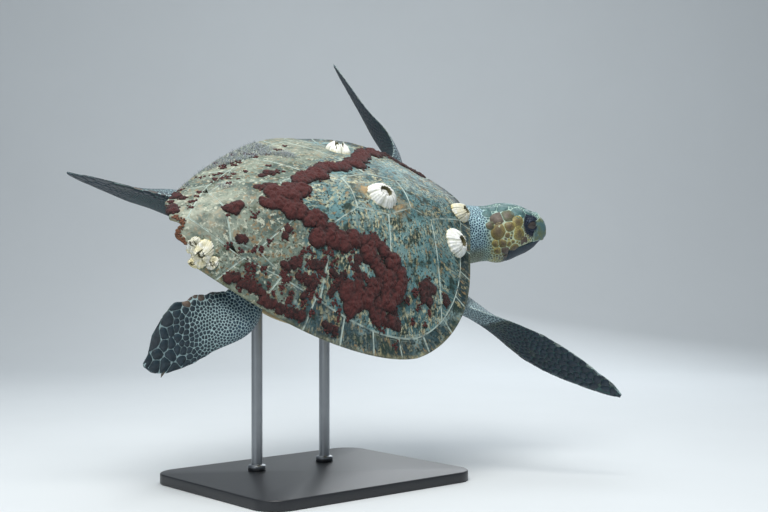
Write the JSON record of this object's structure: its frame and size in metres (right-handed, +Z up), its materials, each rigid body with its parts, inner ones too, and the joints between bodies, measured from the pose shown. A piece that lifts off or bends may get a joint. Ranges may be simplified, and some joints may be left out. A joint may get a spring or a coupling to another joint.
{
  "type": "loggerhead sea turtle model",
  "caption": "Life-size still model of a swimming loggerhead turtle, banked in mid-stroke with an overgrown shell, on a plain display stand.",
  "frame": {"origin": "centre of the underside of the stand's base", "axes": "+Z up, +X to the animal's head end, +Y towards its left, the side that is banked up"},
  "size_m": [1.1609, 0.8679, 1.0617],
  "materials": {
    "scute": "damp horn plates, mottled slate green, olive and cream, with red-brown weed",
    "scute_worn": "worn and encrusted pale grey-cream horn plates with red-brown weed",
    "plastron": "smooth cream-yellow horn plates",
    "skin": "scaly skin, dark slate-blue scales over pale grey-blue",
    "horn": "satin grey-olive horn beak",
    "eye": "wet dark brown eye",
    "barnacle": "chalky white barnacle shell",
    "stand_base": "satin dark grey",
    "stand_rod": "brushed"
  },
  "bodies": {
    "root": {"barnacle_front_lower": "barnacle", "barnacle_front_upper": "barnacle", "barnacle_mid": "barnacle", "barnacle_rear": "barnacle", "beak_upper": "horn", "costal_left_1": "scute", "costal_left_2": "scute", "costal_left_3": "scute", "costal_left_4": "scute_worn", "costal_left_5": "scute_worn", "costal_right_1": "scute", "costal_right_2": "scute", "costal_right_3": "scute", "costal_right_4": "scute_worn", "costal_right_5": "scute_worn", "eye_left": "eye", "eye_right": "eye", "flipper_front_left": "skin", "flipper_front_right": "skin", "flipper_hind_left": "skin", "flipper_hind_right": "skin", "head": "skin", "jaw_lower": "horn", "marginal_left_1": "scute", "marginal_left_10": "scute_worn", "marginal_left_11": "scute_worn", "marginal_left_12": "scute_worn", "marginal_left_2": "scute", "marginal_left_3": "scute", "marginal_left_4": "scute", "marginal_left_5": "scute", "marginal_left_6": "scute", "marginal_left_7": "scute", "marginal_left_8": "scute_worn", "marginal_left_9": "scute_worn", "marginal_right_1": "scute", "marginal_right_10": "scute_worn", "marginal_right_11": "scute_worn", "marginal_right_12": "scute_worn", "marginal_right_2": "scute", "marginal_right_3": "scute", "marginal_right_4": "scute", "marginal_right_5": "scute", "marginal_right_6": "scute", "marginal_right_7": "scute", "marginal_right_8": "scute_worn", "marginal_right_9": "scute_worn", "neck": "skin", "nuchal": "scute", "plastron": "plastron", "stand_base": "stand_base", "stand_rod_front": "stand_rod", "stand_rod_rear": "stand_rod", "tail": "skin", "trunk": "skin", "vertebral_1": "scute", "vertebral_2": "scute", "vertebral_3": "scute", "vertebral_4": "scute_worn", "vertebral_5": "scute_worn"}
  },
  "joints": []
}
